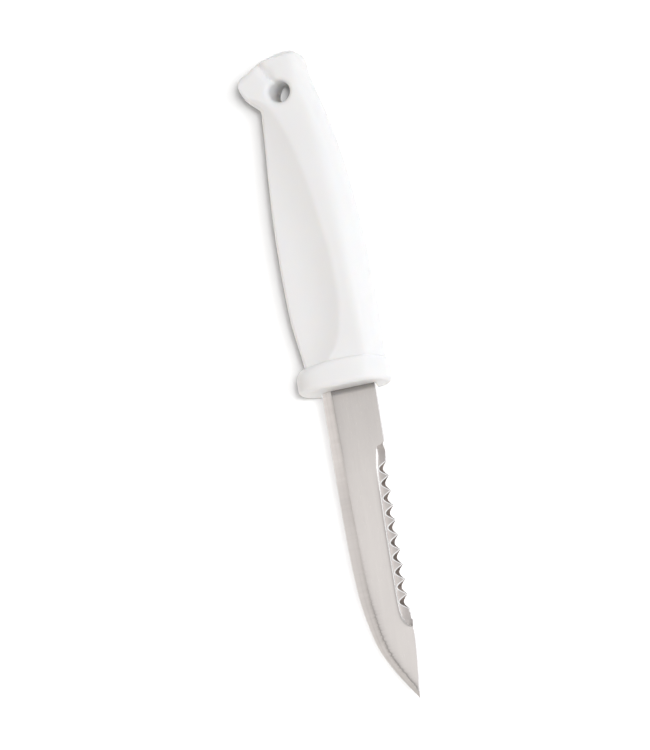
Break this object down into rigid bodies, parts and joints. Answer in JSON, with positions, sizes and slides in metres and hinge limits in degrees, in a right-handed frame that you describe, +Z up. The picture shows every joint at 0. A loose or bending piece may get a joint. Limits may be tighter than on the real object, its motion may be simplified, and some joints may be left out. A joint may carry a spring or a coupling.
{
  "type": "rigging knife",
  "caption": "Fixed-blade knife with a saw-backed spine, a one-piece white moulded handle, a guard and a lanyard hole.",
  "frame": {"origin": "middle of the knife's footprint as it lies on its side, on the surface that it rests on", "axes": "+X from the butt towards the blade's tip, +Y from the cutting edge towards the spine, +Z up through the knife's side face"},
  "size_m": [0.2115, 0.0343, 0.0196],
  "materials": {
    "blade": "satin ground stainless steel",
    "handle": "satin white moulded polypropylene"
  },
  "bodies": {
    "root": {"blade": "blade", "handle": "handle"}
  },
  "joints": []
}
